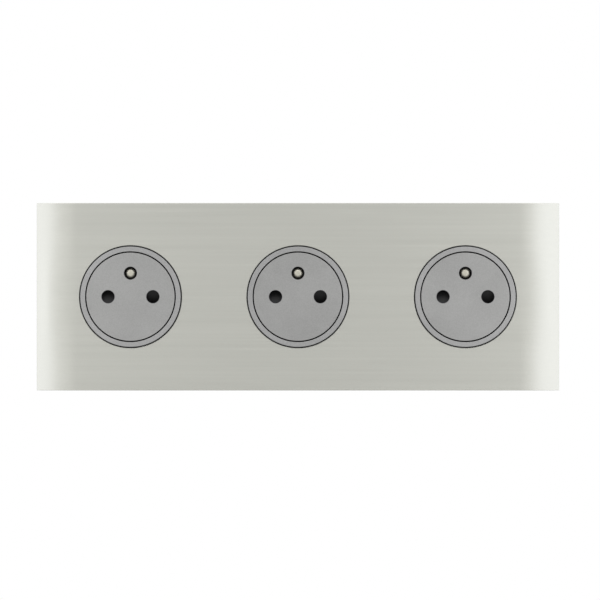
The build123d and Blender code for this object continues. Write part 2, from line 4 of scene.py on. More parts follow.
import bmesh
import bpy
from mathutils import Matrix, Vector


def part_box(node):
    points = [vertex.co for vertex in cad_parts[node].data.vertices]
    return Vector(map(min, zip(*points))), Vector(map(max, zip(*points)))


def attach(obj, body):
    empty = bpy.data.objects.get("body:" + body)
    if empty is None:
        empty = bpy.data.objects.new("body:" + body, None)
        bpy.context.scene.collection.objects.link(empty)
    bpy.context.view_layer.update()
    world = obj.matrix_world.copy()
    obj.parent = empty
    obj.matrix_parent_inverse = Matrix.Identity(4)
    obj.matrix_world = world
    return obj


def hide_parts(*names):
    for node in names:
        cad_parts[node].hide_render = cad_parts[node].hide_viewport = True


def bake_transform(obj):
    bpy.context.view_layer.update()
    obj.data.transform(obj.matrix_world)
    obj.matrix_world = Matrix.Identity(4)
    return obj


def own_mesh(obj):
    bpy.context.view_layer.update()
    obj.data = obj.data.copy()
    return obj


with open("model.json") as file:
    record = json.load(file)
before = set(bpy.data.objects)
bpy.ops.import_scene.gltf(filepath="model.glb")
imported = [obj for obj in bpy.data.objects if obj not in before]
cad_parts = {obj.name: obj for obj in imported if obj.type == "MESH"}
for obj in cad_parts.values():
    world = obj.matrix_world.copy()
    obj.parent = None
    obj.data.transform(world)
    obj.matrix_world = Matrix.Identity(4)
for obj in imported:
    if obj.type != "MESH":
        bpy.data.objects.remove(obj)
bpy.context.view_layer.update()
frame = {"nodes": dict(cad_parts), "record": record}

# Triple wall socket with a bowed brushed plate and three socket faces that a plug pushes back.
# Metres, in the frame of the solids: X runs to the right, Y into the wall and Z up, and the wall is Y = 0.

nodes = frame["nodes"]
record = frame["record"]
MM = 0.001
GANGS = ("left", "middle", "right")
UPRIGHT = (pi / 2, 0, 0)     # turns what lies flat to face the front

# Cover plate
PLATE_T = 1.2 * MM
PLATE_EDGE = 0.12 * MM
APERTURE_GAP = 0.55 * MM     # gap between plate and trim ring
END_RUN = 17.0 * MM          # stretch of each end that bends back
END_RADIUS = 34.0 * MM
END_BEND = asin((END_RUN + PLATE_T) / (END_RADIUS - PLATE_T))    # past the end, where it is cut off
END_STEPS = 14
RELAX_RISE = 0.45 * MM       # each bend is this much flatter at mid height, beside the outer opening
RELAX_START = 2.0 * MM       # from this distance after its start
RELAX_CREST = 13.0 * MM      # most at this one, and not at its edge
RELAX_HALF = 6.0 * MM        # in full up to this height each way
RELAX_FADE = 20.0 * MM       # and less and less over this one
SIDE_CUTS = 23               # cuts in each side of the sheet around an opening
ROUND = 4 * (SIDE_CUTS + 1)  # corners of a round opening or edge

# Trim ring, socket face and earth pin
RING_BAND = 2.0 * MM
RING_WALL = 1.1 * MM
RING_FLANGE_T = 2.2 * MM
RING_EDGE = 0.10 * MM
DISC_T = 2.2 * MM
DISC_WALL = 1.5 * MM
DISC_EDGE = 0.08 * MM
PIVOT_R = 2.4 * MM
EARTH_RISE = 10.0 * MM
EARTH_HOLE_R = 2.65 * MM
EARTH_PIN_R = 2.4 * MM
PIN_TIP_ROUND = 1.7 * MM
PIN_TIP_STEPS = 10
PIN_COLLAR_T = 0.8 * MM
PIN_EDGE = 0.12 * MM
HOLE_EDGE = 0.16 * MM
HOLE_ROUND = 48
CUT = 1.0 * MM               # cutting shapes run this far past the surface

# Return spring
SPRING_WIRE = 0.7 * MM
SPRING_TURNS = 6
SPRING_STEPS = 28
WIRE_ROUND = 10

# Shutter spring, a strip from its post round a bend to the shutter's lower edge
LEAF_T = 0.3 * MM
LEAF_BEND_R = 1.2 * MM
LEAF_ROOT_GAP = 3.6 * MM     # root and bend lie this far inside the disc's wall
LEAF_TURN_GAP = 1.1 * MM
LEAF_ROOT_ANGLE = radians(256)
LEAF_TURN_ANGLE = radians(219)
LEAF_TIP_X = -8.0 * MM
LEAF_POST = 3.0 * MM         # side of the post that holds the strip
LEAF_FIT = 0.05 * MM
POST_SINK = 0.5 * MM         # the post starts this far inside the disc
LEAF_CUTS = 7                # LEAF_CUTS = 7 # cuts across each arm
LEAF_TURN_STEPS = 8
LEAF_EDGE = 0.05 * MM

# Edges of the moulded, folded and cut pieces
MOULD_EDGE = 0.35 * MM
SHEET_EDGE = 0.15 * MM
FINE_EDGE = 0.08 * MM
EDGE_STEPS = 2
RIM_STEPS = 3                # of the rims around ring and disc

# Angle above which edges are eased, and those above which they are shaded crisp
EASED_ANGLE = radians(40)
CRISP = radians(12)
CRISP_COPY = radians(20)
CRISP_WIRE = radians(50)

# Slack in finding and joining corners, edges and faces
WELD = 0.001 * MM
COIL_WELD = 0.002 * MM       # where two stretches of wire meet
SEAM = 0.01 * MM             # where two stretches of sheet meet, and just behind the face
RIM_SLACK = 0.1 * MM         # around a rim, whose edges are straight
ONE_PLANE = radians(0.5)     # between faces that are merged into one


def radius_of(node):
    """Radius of a round node, from its box."""
    low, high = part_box(node)
    return (high.x - low.x) / 2


def centre_of(gang):
    """Place of a socket's axis along the plate."""
    low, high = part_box(f"{gang}_trim_ring")
    return (low.x + high.x) / 2


plate_low, plate_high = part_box("cover_plate")
PLATE_FRONT = plate_low.y
PLATE_H = plate_high.z - plate_low.z
FLAT_HALF = plate_high.x - END_RUN
PITCH = centre_of("right") - centre_of("middle")
RING_R = radius_of("middle_trim_ring")
WELL_R = RING_R - RING_BAND
APERTURE_R = RING_R + APERTURE_GAP
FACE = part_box("middle_trim_ring")[0].y
RING_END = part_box("middle_trim_ring")[1].y
DISC_R = radius_of("middle_disc")
DISC_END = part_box("middle_disc")[1].y


def leaf_place(gap, angle):
    """Place at a distance inside the disc's wall and at an angle, in its socket's own X and Z."""
    reach = DISC_R - DISC_WALL - gap
    return Vector((reach * cos(angle), 0, reach * sin(angle)))


LEAF_ROOT = leaf_place(LEAF_ROOT_GAP, LEAF_ROOT_ANGLE)    # middle of the shutter spring's post
LEAF_TURN = leaf_place(LEAF_TURN_GAP, LEAF_TURN_ANGLE)    # corner of the shutter spring's middle line
LEAF_ARM = LEAF_TURN - LEAF_ROOT
LEAF_SLANT = atan2(LEAF_ARM.z, LEAF_ARM.x)


def off_axis(co, x=0.0, z=0.0):
    """Distance of a place from an axis along Y."""
    return Vector((co.x - x, co.z - z)).length


def middle_of(edge):
    """Place halfway along an edge."""
    return (edge.verts[0].co + edge.verts[1].co) / 2


def only(*pieces):
    """Select these pieces and nothing else, the first one active."""
    bpy.ops.object.select_all(action="DESELECT")
    for piece in pieces:
        piece.select_set(True)
    bpy.context.view_layer.objects.active = pieces[0]


def pick(piece, kind, wanted):
    """In edit mode, select the corners, edges or faces whose middle passes a test."""
    bpy.ops.mesh.select_mode(type=kind)
    bpy.ops.mesh.select_all(action="DESELECT")
    mesh = bmesh.from_edit_mesh(piece.data)
    if kind == "VERT":
        for corner in mesh.verts:
            corner.select_set(wanted(corner.co))
    elif kind == "EDGE":
        for edge in mesh.edges:
            edge.select_set(wanted(middle_of(edge)))
    else:
        for face in mesh.faces:
            face.select_set(wanted(face.calc_center_median()))
    mesh.select_flush_mode()
    bmesh.update_edit_mesh(piece.data)


def weld(slack=WELD):
    """In edit mode, make one corner of those that meet."""
    bpy.ops.mesh.select_all(action="SELECT")
    bpy.ops.mesh.remove_doubles(threshold=slack)


def outward():
    """In edit mode, weld the corners that meet and turn all faces outwards."""
    weld()
    bpy.ops.mesh.normals_make_consistent(inside=False)


def apply(piece, name, kind, **values):
    """Add one modifier to a piece and apply it."""
    only(piece)
    modifier = piece.modifiers.new(name, kind)
    for key, value in values.items():
        setattr(modifier, key, value)
    bpy.ops.object.modifier_apply(modifier=name)


def ease(piece, width, steps=EDGE_STEPS):
    """Round off the sharp edges of a piece."""
    apply(
        piece, "eased_edges", "BEVEL", width=width, segments=steps,
        limit_method="ANGLE", angle_limit=EASED_ANGLE,
    )


def combine(piece, other, how):
    """Join another shape to a piece or cut it out, and drop that shape."""
    apply(piece, "combined", "BOOLEAN", operation=how, solver="EXACT", object=other)
    bpy.data.objects.remove(other)


def smooth(piece, angle=CRISP):
    """Shade a piece smoothly up to an angle between its faces."""
    only(piece)
    bpy.ops.object.shade_smooth_by_angle(angle=angle)


def smooth_copy(piece):
    """Shade the copy of a node smoothly, its flat faces plain beside their eased edges."""
    smooth(piece, CRISP_COPY)
    apply(piece, "plain_faces", "WEIGHTED_NORMAL", keep_sharp=True)


def turned(name, outline, x=0.0, z=0.0, corners=ROUND, ring=False):
    """Piece turned about an axis along Y: a circle extruded from one radius and depth to the next."""
    bpy.ops.object.select_all(action="DESELECT")
    radius, depth = outline[0]
    bpy.ops.mesh.primitive_circle_add(
        vertices=corners, radius=radius, location=(x, depth, z), rotation=UPRIGHT,
        fill_type="NOTHING" if ring else "NGON",
    )
    piece = bpy.context.object
    piece.name = name
    bpy.ops.object.transform_apply(location=True, rotation=True, scale=True)
    bpy.ops.object.mode_set(mode="EDIT")
    bpy.ops.mesh.select_mode(type="EDGE")
    bpy.ops.mesh.select_all(action="SELECT")
    for next_radius, next_depth in outline[1:]:
        step = (0, next_depth - depth, 0)
        bpy.ops.mesh.extrude_edges_move(TRANSFORM_OT_translate={"value": step})
        grow = next_radius / radius
        bpy.ops.transform.resize(value=(grow, 1, grow), center_override=(x, next_depth, z))
        radius, depth = next_radius, next_depth
    if ring:
        inset = cos(pi / corners)    # the middle of a straight edge lies a little inside its circle
        ends = (outline[0], outline[-1])
        pick(piece, "EDGE", lambda co: any(
            abs(co.y - d) < WELD and abs(off_axis(co, x, z) - r * inset) < WELD for r, d in ends
        ))
        bpy.ops.mesh.bridge_edge_loops()
    else:
        bpy.ops.mesh.edge_face_add()
    outward()
    bpy.ops.object.mode_set(mode="OBJECT")
    return piece


def bar(name, width, height, place, start, end, slant=0.0):
    """Plain bar from one depth to another at a place in X and Z, turned about Y."""
    bpy.ops.object.select_all(action="DESELECT")
    bpy.ops.mesh.primitive_cube_add(
        size=1, location=(place.x, (start + end) / 2, place.z), rotation=(0, -slant, 0),
    )
    piece = bpy.context.object
    piece.name = name
    piece.scale = (width, end - start, height)
    bpy.ops.object.transform_apply(location=True, rotation=True, scale=True)
    return piece


def copy_to(piece, name, x):
    """Copy of a piece with its own mesh, moved along the plate."""
    only(piece)
    bpy.ops.object.duplicate(linked=False)
    copy = bpy.context.object
    copy.name = name
    bpy.ops.object.mode_set(mode="EDIT")
    bpy.ops.mesh.select_all(action="SELECT")
    bpy.ops.transform.translate(value=(x, 0, 0))
    bpy.ops.object.mode_set(mode="OBJECT")
    return copy


# Pieces


def plate_stretch(left, right, middle):
    """Flat stretch of the sheet around one socket: a rectangle whose rim is bridged to a round opening."""
    bpy.ops.object.select_all(action="DESELECT")
    bpy.ops.mesh.primitive_plane_add(
        size=1, location=((left + right) / 2, PLATE_FRONT, 0), rotation=UPRIGHT,
    )
    stretch = bpy.context.object
    stretch.scale = (right - left, PLATE_H, 1)
    bpy.ops.object.transform_apply(location=True, rotation=True, scale=True)
    bpy.ops.object.mode_set(mode="EDIT")
    bpy.ops.mesh.subdivide(number_cuts=SIDE_CUTS)
    top = PLATE_H / 2 - SEAM
    pick(stretch, "VERT", lambda co: left + SEAM < co.x < right - SEAM and abs(co.z) < top)
    bpy.ops.mesh.delete(type="VERT")
    bpy.ops.mesh.primitive_circle_add(
        vertices=ROUND, radius=APERTURE_R, location=(middle, PLATE_FRONT, 0), rotation=UPRIGHT,
    )
    bpy.ops.mesh.select_all(action="SELECT")
    bpy.ops.mesh.select_mode(type="EDGE")
    bpy.ops.mesh.bridge_edge_loops()
    bpy.ops.object.mode_set(mode="OBJECT")
    return stretch


def gentle(share):
    """Share from none to all that changes slowly at both ends."""
    return share * share * (3 - 2 * share)


def relax_ends(plate):
    """In edit mode, flatten the bends beside the outer openings. The plate's two edges stay straight."""
    mesh = bmesh.from_edit_mesh(plate.data)
    for corner in mesh.verts:
        run = abs(corner.co.x) - FLAT_HALF
        before = (run - RELAX_START) / (RELAX_CREST - RELAX_START)
        after = (END_RUN - run) / (END_RUN - RELAX_CREST)
        along = min(before, after)
        upward = min((RELAX_HALF + RELAX_FADE - abs(corner.co.z)) / RELAX_FADE, 1)
        if along > 0 and upward > 0:
            corner.co.y -= RELAX_RISE * along * gentle(upward)
    bmesh.update_edit_mesh(plate.data)


def cover_plate():
    """Sheet with three round openings, its two ends spun back, then given its thickness and eased edges."""
    half = PITCH / 2
    stretches = [
        plate_stretch(-half, half, 0),
        plate_stretch(-FLAT_HALF, -half, -PITCH),
        plate_stretch(half, FLAT_HALF, PITCH),
    ]
    only(*stretches)
    bpy.ops.object.join()
    plate = bpy.context.object
    plate.name = "brushed_cover_plate"
    bpy.ops.object.mode_set(mode="EDIT")
    weld(SEAM)
    for side in (-1, 1):
        end = side * FLAT_HALF
        pick(plate, "EDGE", lambda co: abs(co.x - end) < SEAM)
        bpy.ops.mesh.spin(
            steps=END_STEPS, angle=-side * END_BEND, center=(end, PLATE_FRONT + END_RADIUS, 0),
            axis=(0, 0, 1), use_auto_merge=False,
        )
    outward()
    relax_ends(plate)
    bpy.ops.object.mode_set(mode="OBJECT")
    if plate.data.polygons[0].normal.y > 0:
        bpy.ops.object.mode_set(mode="EDIT")
        bpy.ops.mesh.select_all(action="SELECT")
        bpy.ops.mesh.flip_normals()
        bpy.ops.object.mode_set(mode="OBJECT")
    apply(plate, "sheet", "SOLIDIFY", thickness=PLATE_T, offset=-1, use_even_offset=True)
    bpy.ops.object.mode_set(mode="EDIT")
    for end, way in ((plate_low, -1), (plate_high, 1)):
        bpy.ops.mesh.select_all(action="SELECT")
        bpy.ops.mesh.bisect(
            plane_co=end, plane_no=(way, 0, 0), use_fill=True, clear_outer=True, threshold=WELD,
        )
    outward()
    bpy.ops.object.mode_set(mode="OBJECT")
    ease(plate, PLATE_EDGE)
    smooth(plate)
    return plate


def trim_ring():
    """Ring around a socket face, with the skirt that lines the mouth of the well."""
    shoulder = FACE + RING_FLANGE_T
    skirt = WELL_R + RING_WALL
    outline = [
        (WELL_R, FACE), (RING_R, FACE), (RING_R, shoulder),
        (skirt, shoulder), (skirt, RING_END), (WELL_R, RING_END),
    ]
    ring = turned("trim_ring", outline, ring=True)
    ease(ring, RING_EDGE, RIM_STEPS)
    smooth(ring)
    return ring


def face_holes():
    """Radius and place of a face's holes, in its socket's own X and Z. The record states the pin holes."""
    pin_hole = next(m for m in record["mounts"] if m["name"] == "middle_live_pin_hole")
    radius = pin_hole["dims"]["r_mm"] * MM
    x = pin_hole["pos_m"][0]
    return (radius, -x, 0), (radius, x, 0), (EARTH_HOLE_R, 0, EARTH_RISE)


def spring_post():
    """Grooved post inside a face, which holds the shutter spring."""
    low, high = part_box("middle_shutter_spring")
    post = bar("post", LEAF_POST, LEAF_POST, LEAF_ROOT, FACE + DISC_T - POST_SINK, high.y)
    groove_w = LEAF_T + 2 * LEAF_FIT
    groove = bar("groove", 2 * LEAF_POST, groove_w, LEAF_ROOT, low.y, high.y + CUT, LEAF_SLANT)
    combine(post, groove, "DIFFERENCE")
    return post


def disc():
    """Socket face: a shallow cup with the shutter's pivot, its spring's post and three holes."""
    inner = FACE + DISC_T
    cup_r = DISC_R - DISC_WALL
    cup = turned("disc", [
        (DISC_R, FACE), (DISC_R, DISC_END), (cup_r, DISC_END),
        (cup_r, inner), (PIVOT_R, inner), (PIVOT_R, DISC_END),
    ])
    combine(cup, spring_post(), "UNION")
    holes = face_holes()
    for radius, x, z in holes:
        hole = turned("hole", [(radius, FACE - CUT), (radius, inner + CUT)], x, z, HOLE_ROUND)
        combine(cup, hole, "DIFFERENCE")

    def on_hole_rim(co):
        on_face = abs(co.y - FACE) < WELD
        return on_face and any(abs(off_axis(co, x, z) - radius) < RIM_SLACK for radius, x, z in holes)

    def on_disc_rim(co):
        return abs(co.y - FACE) < WELD and off_axis(co) > DISC_R - RIM_SLACK

    bpy.ops.object.mode_set(mode="EDIT")
    pick(cup, "EDGE", on_hole_rim)
    bpy.ops.mesh.bevel(offset=HOLE_EDGE, segments=EDGE_STEPS)
    pick(cup, "EDGE", on_disc_rim)
    bpy.ops.mesh.bevel(offset=DISC_EDGE, segments=RIM_STEPS)
    bpy.ops.object.mode_set(mode="OBJECT")
    smooth(cup)
    return cup


def earth_pin():
    """Round pin with a domed tip, and the collar that holds it."""
    low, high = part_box("middle_earth_pin")
    collar_r = radius_of("middle_earth_pin")
    flat = EARTH_PIN_R - PIN_TIP_ROUND
    outline = []
    for step in range(PIN_TIP_STEPS + 1):
        angle = pi / 2 * step / PIN_TIP_STEPS
        outline.append((flat + PIN_TIP_ROUND * sin(angle), low.y + PIN_TIP_ROUND * (1 - cos(angle))))
    shoulder = high.y - PIN_COLLAR_T
    outline += [(EARTH_PIN_R, shoulder), (collar_r, shoulder), (collar_r, high.y)]
    pin = turned("earth_pin", outline, 0, EARTH_RISE, HOLE_ROUND)
    ease(pin, PIN_EDGE)
    smooth(pin, CRISP_COPY)
    return pin


def wire_coil(radius, depth, pitch, turns):
    """Open-ended coil of round wire: a small circle run round an axis along Y."""
    bpy.ops.object.select_all(action="DESELECT")
    bpy.ops.mesh.primitive_circle_add(
        vertices=WIRE_ROUND, radius=SPRING_WIRE / 2, location=(radius, depth, 0),
    )
    coil = bpy.context.object
    bpy.ops.object.transform_apply(location=True, rotation=True, scale=True)
    apply(
        coil, "winding", "SCREW", axis="Y", angle=2 * pi, screw_offset=pitch, iterations=turns,
        steps=SPRING_STEPS, render_steps=SPRING_STEPS, use_merge_vertices=False,
    )
    return coil


def return_spring():
    """Spring of round wire: a wide coil between two closed turns, joined and capped at both ends."""
    low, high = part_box("middle_return_spring")
    radius = radius_of("middle_return_spring") - SPRING_WIRE / 2
    start = low.y + SPRING_WIRE / 2
    end = high.y - SPRING_WIRE / 2
    closed = SPRING_WIRE
    wide_turns = SPRING_TURNS - 2
    wide = (end - start - 2 * closed) / wide_turns
    coils = [
        wire_coil(radius, start, closed, 1),
        wire_coil(radius, start + closed, wide, wide_turns),
        wire_coil(radius, end - closed, closed, 1),
    ]
    only(*coils)
    bpy.ops.object.join()
    spring = bpy.context.object
    spring.name = "return_spring"
    bpy.ops.object.mode_set(mode="EDIT")
    weld(COIL_WELD)
    bpy.ops.mesh.select_all(action="DESELECT")
    bpy.ops.mesh.select_mode(type="EDGE")
    bpy.ops.mesh.select_non_manifold(
        extend=False, use_wire=False, use_multi_face=False, use_non_contiguous=False, use_verts=False,
    )
    bpy.ops.mesh.edge_face_add()
    outward()
    bpy.ops.object.mode_set(mode="OBJECT")
    smooth(spring, CRISP_WIRE)
    return spring


def shutter_spring():
    """Strip of spring steel: one arm drawn out into the next, the corner rounded, then made a sheet."""
    low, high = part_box("middle_shutter_spring")
    depth = Vector((0, (low.y + high.y) / 2, 0))
    tip = Vector((LEAF_TIP_X, 0, high.z - LEAF_T / 2))
    bpy.ops.object.select_all(action="DESELECT")
    bpy.ops.mesh.primitive_plane_add(
        size=1, location=(LEAF_ROOT + LEAF_TURN) / 2 + depth, rotation=(0, -LEAF_SLANT, 0),
    )
    leaf = bpy.context.object
    leaf.name = "shutter_spring"
    leaf.scale = (LEAF_ARM.length, high.y - low.y, 1)
    bpy.ops.object.transform_apply(location=True, rotation=True, scale=True)
    bpy.ops.object.mode_set(mode="EDIT")

    def at_corner(co):
        return (co - LEAF_TURN - depth).length < LEAF_T

    pick(leaf, "EDGE", at_corner)
    bpy.ops.mesh.extrude_edges_move(TRANSFORM_OT_translate={"value": tip - LEAF_TURN})
    pick(leaf, "EDGE", at_corner)
    half = LEAF_ARM.angle(LEAF_TURN - tip) / 2
    bpy.ops.mesh.bevel(offset=LEAF_BEND_R / tan(half), segments=LEAF_TURN_STEPS)
    for end in (LEAF_ROOT, tip):
        middle = (end + LEAF_TURN) / 2
        pick(leaf, "EDGE", lambda co: (
            abs(co.y - depth.y) > LEAF_T and off_axis(co, middle.x, middle.z) < 2 * LEAF_BEND_R
        ))
        bpy.ops.mesh.subdivide(number_cuts=LEAF_CUTS)
    bpy.ops.object.mode_set(mode="OBJECT")
    apply(leaf, "strip", "SOLIDIFY", thickness=LEAF_T, offset=0, use_even_offset=True)
    ease(leaf, LEAF_EDGE)
    smooth(leaf, CRISP_COPY)
    return leaf


def merged_copy(node):
    """Copy of a node with its triangles merged into plain faces, without the normals stored for them."""
    piece = bpy.data.objects.new(f"{node}_eased", nodes[node].data.copy())
    bpy.context.scene.collection.objects.link(piece)
    only(piece)
    bpy.ops.mesh.customdata_custom_splitnormals_clear()
    bpy.ops.object.mode_set(mode="EDIT")
    weld()
    bpy.ops.mesh.dissolve_limited(angle_limit=ONE_PLANE)
    bpy.ops.object.mode_set(mode="OBJECT")
    return piece


def eased_copy(node, width):
    """Copy of a node with its sharp edges rounded, to stand for it."""
    piece = merged_copy(node)
    ease(piece, width)
    smooth_copy(piece)
    return piece


def eased_base(gang):
    """Copy of a socket's base with its outer edges rounded; the edges inside the well stay sharp."""
    base = merged_copy(f"{gang}_base")
    centre = centre_of(gang)
    well = WELL_R + 2 * RING_WALL
    mouth = RING_END - SHEET_EDGE
    bpy.ops.object.mode_set(mode="EDIT")
    bpy.ops.mesh.select_mode(type="EDGE")
    bpy.ops.mesh.select_all(action="DESELECT")
    bpy.ops.mesh.edges_select_sharp(sharpness=EASED_ANGLE)
    mesh = bmesh.from_edit_mesh(base.data)
    for edge in mesh.edges:
        middle = middle_of(edge)
        if middle.y > mouth and off_axis(middle, centre) < well:
            edge.select_set(False)
    bmesh.update_edit_mesh(base.data)
    bpy.ops.mesh.bevel(offset=MOULD_EDGE, segments=EDGE_STEPS, clamp_overlap=True)
    bpy.ops.object.mode_set(mode="OBJECT")
    smooth_copy(base)
    return base


# Surface effects that several materials share

# Spots or lines to the metre
BRUSHED = {"Fine": (25.0, 5000.0, 5000.0), "Broad": (4.0, 700.0, 700.0)}
ROLLED = {"Fine": (2500.0, 60.0, 2500.0), "Broad": (300.0, 10.0, 300.0)}
EVEN = {"Fine": (900.0, 900.0, 900.0), "Broad": (90.0, 90.0, 90.0)}
MOULDED = {"Grain": 2600.0, "Cloud": 45.0}
PAINTED = {"Grain": 2200.0, "Cloud": 60.0}

NOISE_LOW = 0.3              # most of a noise lies between these two values
NOISE_HIGH = 0.7
GRAIN_DETAIL = 2.0
CLOUD_DETAIL = 3.0
LINE_DETAIL = 3.0
CLOUD_SHARE = 0.4            # of a grained surface's tone
BROAD_SHARE = 0.5            # of a drawn surface's tone


def effect(name, inputs, outputs):
    """New shader node group with named values in and out, and its two end nodes."""
    group = bpy.data.node_groups.new(name, "ShaderNodeTree")
    for label, value in inputs.items():
        kind = "NodeSocketVector" if isinstance(value, tuple) else "NodeSocketFloat"
        socket = group.interface.new_socket(label, in_out="INPUT", socket_type=kind)
        socket.default_value = value
    for label in outputs:
        group.interface.new_socket(label, in_out="OUTPUT", socket_type="NodeSocketFloat")
    return group, group.nodes.new("NodeGroupInput"), group.nodes.new("NodeGroupOutput")


def noise(tree, place, detail):
    """Noise over the places of a surface."""
    made = tree.nodes.new("ShaderNodeTexNoise")
    made.inputs["Detail"].default_value = detail
    tree.links.new(place, made.inputs["Vector"])
    return made


def widened(tree, source):
    """The middle of a noise, spread over the range from 0 to 1."""
    spread = tree.nodes.new("ShaderNodeMapRange")
    spread.inputs["From Min"].default_value = NOISE_LOW
    spread.inputs["From Max"].default_value = NOISE_HIGH
    tree.links.new(source, spread.inputs["Value"])
    return spread.outputs["Result"]


def two_noises(tree, first, second, share):
    """One tone from two noises, with the second one's share in it."""
    tone = tree.nodes.new("ShaderNodeMix")
    tone.inputs["Factor"].default_value = share
    tree.links.new(widened(tree, first), tone.inputs["A"])
    tree.links.new(widened(tree, second), tone.inputs["B"])
    return tone.outputs["Result"]


def moulded_grain():
    """Fine even grain of a moulded or painted surface, with a slow change of tone."""
    group, given, result = effect("moulded_grain", MOULDED, ("Tone", "Height"))
    place = group.nodes.new("ShaderNodeTexCoord").outputs["Object"]
    grain = noise(group, place, GRAIN_DETAIL)
    cloud = noise(group, place, CLOUD_DETAIL)
    group.links.new(given.outputs["Grain"], grain.inputs["Scale"])
    group.links.new(given.outputs["Cloud"], cloud.inputs["Scale"])
    tone = two_noises(group, grain.outputs["Fac"], cloud.outputs["Fac"], CLOUD_SHARE)
    group.links.new(tone, result.inputs["Tone"])
    group.links.new(grain.outputs["Fac"], result.inputs["Height"])
    return group


def drawn_lines():
    """Lines that brushing, rolling or drawing leaves, long one way and fine across, at two widths."""
    group, given, result = effect("drawn_lines", BRUSHED, ("Tone", "Height"))
    place = group.nodes.new("ShaderNodeTexCoord").outputs["Object"]
    lines = {}
    for label in ("Fine", "Broad"):
        stretch = group.nodes.new("ShaderNodeVectorMath")
        stretch.operation = "MULTIPLY"
        group.links.new(place, stretch.inputs[0])
        group.links.new(given.outputs[label], stretch.inputs[1])
        line = noise(group, stretch.outputs["Vector"], LINE_DETAIL)
        line.inputs["Scale"].default_value = 1.0
        lines[label] = line.outputs["Fac"]
    tone = two_noises(group, lines["Fine"], lines["Broad"], BROAD_SHARE)
    group.links.new(tone, result.inputs["Tone"])
    group.links.new(lines["Fine"], result.inputs["Height"])
    return group


GRAIN = moulded_grain()
LINES = drawn_lines()


# Materials


def finish(name, colour, contrast, surface, roughness, relief, metal=0.0, shine=0.5):
    """Material whose colour, roughness and relief all follow one surface effect."""
    material = bpy.data.materials.new(name)
    material.use_nodes = True
    tree = material.node_tree
    shader = tree.nodes["Principled BSDF"]
    shader.inputs["Metallic"].default_value = metal
    shader.inputs["Specular IOR Level"].default_value = shine
    group, fineness = surface
    pattern = tree.nodes.new("ShaderNodeGroup")
    pattern.node_tree = group
    for label, value in fineness.items():
        pattern.inputs[label].default_value = value
    tone = tree.nodes.new("ShaderNodeMix")
    tone.data_type = "RGBA"
    tone.inputs["A"].default_value = (*[c * (1 - contrast) for c in colour], 1)
    tone.inputs["B"].default_value = (*[c * (1 + contrast) for c in colour], 1)
    tree.links.new(pattern.outputs["Tone"], tone.inputs["Factor"])
    tree.links.new(tone.outputs["Result"], shader.inputs["Base Color"])
    spread = tree.nodes.new("ShaderNodeMapRange")
    spread.inputs["To Min"].default_value, spread.inputs["To Max"].default_value = roughness
    tree.links.new(pattern.outputs["Tone"], spread.inputs["Value"])
    tree.links.new(spread.outputs["Result"], shader.inputs["Roughness"])
    bump = tree.nodes.new("ShaderNodeBump")
    bump.inputs["Strength"].default_value, bump.inputs["Distance"].default_value = relief
    tree.links.new(pattern.outputs["Height"], bump.inputs["Height"])
    tree.links.new(bump.outputs["Normal"], shader.inputs["Normal"])
    return material


# Roughness runs from the first value to the second, and relief is its strength and its depth
FINISHES = {
    "brushed_plate": dict(
        colour=(0.3955, 0.3965, 0.3633), contrast=0.035, surface=(LINES, BRUSHED),
        roughness=(0.325, 0.415), relief=(0.08, 0.02 * MM), metal=1.0,
    ),
    "disc_grey": dict(
        colour=(0.290, 0.290, 0.284), contrast=0.09, surface=(GRAIN, PAINTED),
        roughness=(0.28, 0.36), relief=(0.10, 0.03 * MM), metal=0.9,
    ),
    "ring_grey": dict(
        colour=(0.302, 0.302, 0.299), contrast=0.09, surface=(GRAIN, PAINTED),
        roughness=(0.28, 0.36), relief=(0.10, 0.03 * MM), metal=0.9,
    ),
    "carrier_plastic": dict(
        colour=(0.09, 0.09, 0.09), contrast=0.10, surface=(GRAIN, MOULDED),
        roughness=(0.45, 0.62), relief=(0.20, 0.05 * MM),
    ),
    "dark_plastic": dict(
        colour=(0.03, 0.03, 0.032), contrast=0.15, surface=(GRAIN, MOULDED),
        roughness=(0.40, 0.60), relief=(0.20, 0.05 * MM),
    ),
    "shutter_plastic": dict(
        colour=(0.015, 0.015, 0.0153), contrast=0.15, surface=(GRAIN, MOULDED),
        roughness=(0.38, 0.48), relief=(0.20, 0.05 * MM), shine=0.22,
    ),
    "zinc_steel": dict(
        colour=(0.55, 0.56, 0.58), contrast=0.08, surface=(LINES, EVEN),
        roughness=(0.28, 0.45), relief=(0.12, 0.03 * MM), metal=1.0,
    ),
    "spring_steel": dict(
        colour=(0.40, 0.40, 0.42), contrast=0.06, surface=(LINES, EVEN),
        roughness=(0.25, 0.38), relief=(0.08, 0.02 * MM), metal=1.0,
    ),
    "contact_brass": dict(
        colour=(0.72, 0.55, 0.27), contrast=0.06, surface=(LINES, ROLLED),
        roughness=(0.22, 0.38), relief=(0.08, 0.02 * MM), metal=1.0,
    ),
    "terminal_brass": dict(
        colour=(0.68, 0.52, 0.26), contrast=0.07, surface=(LINES, EVEN),
        roughness=(0.28, 0.44), relief=(0.10, 0.02 * MM), metal=1.0,
    ),
    "nickel": dict(
        colour=(0.405, 0.392, 0.334), contrast=0.03, surface=(LINES, EVEN),
        roughness=(0.43, 0.51), relief=(0.04, 0.01 * MM), metal=1.0,
    ),
}
MATERIALS = {name: finish(name, **values) for name, values in FINISHES.items()}
SLOTS = {row["node"]: row["material_slot"] for row in record["subparts"]}
BODIES = {node: body for body, members in record["behaviour"]["bodies"].items() for node in members}
OWN_FINISH = {"disc": "disc_grey", "trim_ring": "ring_grey", "shutter": "shutter_plastic"}


def finish_of(node):
    """Material of a node: its own, or else its slot's."""
    return next((m for end, m in OWN_FINISH.items() if node.endswith(end)), SLOTS[node])


